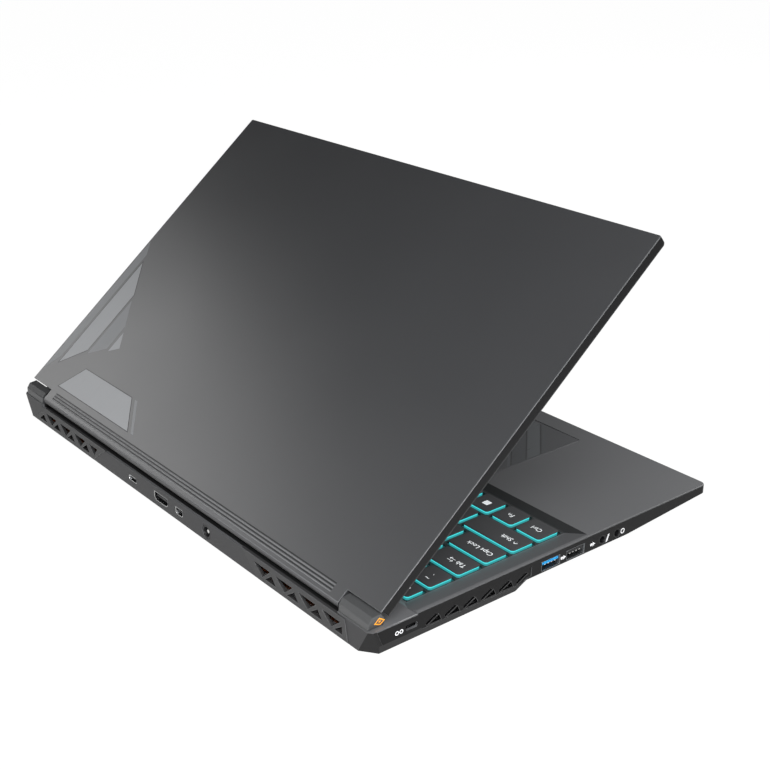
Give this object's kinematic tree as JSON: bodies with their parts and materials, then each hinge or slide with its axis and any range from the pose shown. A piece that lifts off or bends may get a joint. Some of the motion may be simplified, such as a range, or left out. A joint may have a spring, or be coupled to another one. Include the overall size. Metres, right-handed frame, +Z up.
{
  "type": "laptop computer",
  "caption": "Dark grey clamshell laptop, lid part open, with an angular hinge line, rear and side air outlets, backlit chiclet keys, a number pad and an offset touchpad.",
  "frame": {"origin": "on the table under the centre of the base's footprint", "axes": "+X to the user's right, +Y from the front edge to the rear outlets, +Z up from the table"},
  "size_m": [0.36, 0.238, 0.1679],
  "materials": {
    "shell": "soft matt lacquer, dark grey",
    "lid_shell": "satin lacquer, dark grey",
    "rear_grille": "satin, dark grey",
    "side_grille": "matt black",
    "hinge_shell": "satin, dark grey",
    "bezel": "matt black",
    "key_plastic": "fine matt, dark grey",
    "key_frame": "matt, near black",
    "pad_surface": "satin",
    "key_plate": "stamped sheet",
    "hinge_steel": "brushed",
    "port_steel": "stamped shell",
    "screw_steel": "black oxide",
    "port_black": "moulded black",
    "port_blue": "moulded blue",
    "battery_wrap": "wrapped pack",
    "board": "solder mask",
    "copper": "bare metal, flattened heat pipes and plates",
    "fan_plastic": "moulded black",
    "rubber": "matt",
    "screen": "dark, antiglare"
  },
  "bodies": {
    "base": {"top_case": "shell", "bottom_cover": "shell", "rear_vent_left": "rear_grille", "rear_vent_right": "rear_grille", "side_vent_left": "side_grille", "side_vent_right": "side_grille", "hinge_cover_left": "hinge_shell", "hinge_cover_right": "hinge_shell", "hinge_bracket_left": "hinge_steel", "hinge_bracket_right": "hinge_steel", "keyboard_web": "key_frame", "keyboard_backplate": "key_plate", "battery": "battery_wrap", "mainboard": "board", "heatsink": "copper", "fan_housing_left": "fan_plastic", "fan_housing_right": "fan_plastic", "speakers": "fan_plastic", "ssd": "board", "memory_modules": "board", "wireless_card": "board", "usb_a_port_front": "port_black", "usb_a_port_rear": "port_blue", "usb_a_port_right": "port_blue", "card_reader": "port_steel", "microphone_jack": "port_black", "headphone_jack": "port_black", "usb_c_port": "port_steel", "hdmi_port": "port_steel", "mini_displayport": "port_steel", "dc_in_socket": "port_black", "rubber_feet": "rubber", "case_screws": "screw_steel"},
    "lid": {"lid_back_cover": "lid_shell", "screen_bezel": "bezel", "display_panel": "screen", "webcam_module": "port_black", "lid_hinge_arm_left": "hinge_steel", "lid_hinge_arm_right": "hinge_steel", "lid_bumpers": "rubber"},
    "touchpad": {"touchpad": "pad_surface"},
    "fan_wheel_left": {"fan_wheel_left": "fan_plastic"},
    "fan_wheel_right": {"fan_wheel_right": "fan_plastic"},
    "esc_key": {"esc_key": "key_plastic"},
    "tab_key": {"tab_key": "key_plastic"},
    "caps_lock_key": {"caps_lock_key": "key_plastic"},
    "left_shift_key": {"left_shift_key": "key_plastic"},
    "left_ctrl_key": {"left_ctrl_key": "key_plastic"},
    "fn_key": {"fn_key": "key_plastic"},
    "meta_key": {"meta_key": "key_plastic"},
    "space_bar": {"space_bar": "key_plastic"},
    "power_key": {"power_key": "key_plastic"},
    "function_keys": {"function_keys": "key_plastic"},
    "number_keys": {"number_keys": "key_plastic"},
    "upper_letter_keys": {"upper_letter_keys": "key_plastic"},
    "home_letter_keys": {"home_letter_keys": "key_plastic"},
    "lower_letter_keys": {"lower_letter_keys": "key_plastic"},
    "bottom_row_keys": {"bottom_row_keys": "key_plastic"},
    "keypad_keys": {"keypad_keys": "key_plastic"}
  },
  "joints": [
    {"name": "lid_hinge", "type": "hinge", "parent": "base", "child": "lid", "pos_m": [0, 0.113, 0.018], "axis": [-1, 0, 0], "range_deg": [-39.5, 90.5]},
    {"name": "touchpad_click", "type": "hinge", "parent": "base", "child": "touchpad", "pos_m": [-0.0413, -0.032, 0.0145], "axis": [1, 0, 0], "range_deg": [0, 0.4], "stiffness_Nm_per_rad": 20},
    {"name": "left_fan_spin", "type": "hinge", "parent": "base", "child": "fan_wheel_left", "pos_m": [-0.112, 0.062, 0.0066], "axis": [0, 0, 1], "continuous": true},
    {"name": "right_fan_spin", "type": "hinge", "parent": "base", "child": "fan_wheel_right", "pos_m": [0.112, 0.062, 0.0066], "axis": [0, 0, 1], "continuous": true},
    {"name": "esc_press", "type": "slide", "parent": "base", "child": "esc_key", "axis": [0, 0, -1], "range_m": [0, 0.0015], "stiffness_N_per_m": 300},
    {"name": "tab_press", "type": "slide", "parent": "base", "child": "tab_key", "axis": [0, 0, -1], "range_m": [0, 0.0015], "stiffness_N_per_m": 300},
    {"name": "caps_lock_press", "type": "slide", "parent": "base", "child": "caps_lock_key", "axis": [0, 0, -1], "range_m": [0, 0.0015], "stiffness_N_per_m": 300},
    {"name": "left_shift_press", "type": "slide", "parent": "base", "child": "left_shift_key", "axis": [0, 0, -1], "range_m": [0, 0.0015], "stiffness_N_per_m": 300},
    {"name": "left_ctrl_press", "type": "slide", "parent": "base", "child": "left_ctrl_key", "axis": [0, 0, -1], "range_m": [0, 0.0015], "stiffness_N_per_m": 300},
    {"name": "fn_press", "type": "slide", "parent": "base", "child": "fn_key", "axis": [0, 0, -1], "range_m": [0, 0.0015], "stiffness_N_per_m": 300},
    {"name": "meta_press", "type": "slide", "parent": "base", "child": "meta_key", "axis": [0, 0, -1], "range_m": [0, 0.0015], "stiffness_N_per_m": 300},
    {"name": "space_bar_press", "type": "slide", "parent": "base", "child": "space_bar", "axis": [0, 0, -1], "range_m": [0, 0.0015], "stiffness_N_per_m": 300},
    {"name": "power_press", "type": "slide", "parent": "base", "child": "power_key", "axis": [0, 0, -1], "range_m": [0, 0.0015], "stiffness_N_per_m": 300},
    {"name": "function_press", "type": "slide", "parent": "base", "child": "function_keys", "axis": [0, 0, -1], "range_m": [0, 0.0015], "stiffness_N_per_m": 5100},
    {"name": "number_press", "type": "slide", "parent": "base", "child": "number_keys", "axis": [0, 0, -1], "range_m": [0, 0.0015], "stiffness_N_per_m": 4200},
    {"name": "upper_letter_press", "type": "slide", "parent": "base", "child": "upper_letter_keys", "axis": [0, 0, -1], "range_m": [0, 0.0015], "stiffness_N_per_m": 3900},
    {"name": "home_letter_press", "type": "slide", "parent": "base", "child": "home_letter_keys", "axis": [0, 0, -1], "range_m": [0, 0.0015], "stiffness_N_per_m": 3600},
    {"name": "lower_letter_press", "type": "slide", "parent": "base", "child": "lower_letter_keys", "axis": [0, 0, -1], "range_m": [0, 0.0015], "stiffness_N_per_m": 3600},
    {"name": "bottom_row_press", "type": "slide", "parent": "base", "child": "bottom_row_keys", "axis": [0, 0, -1], "range_m": [0, 0.0015], "stiffness_N_per_m": 2100},
    {"name": "keypad_press", "type": "slide", "parent": "base", "child": "keypad_keys", "axis": [0, 0, -1], "range_m": [0, 0.0015], "stiffness_N_per_m": 5100}
  ]
}
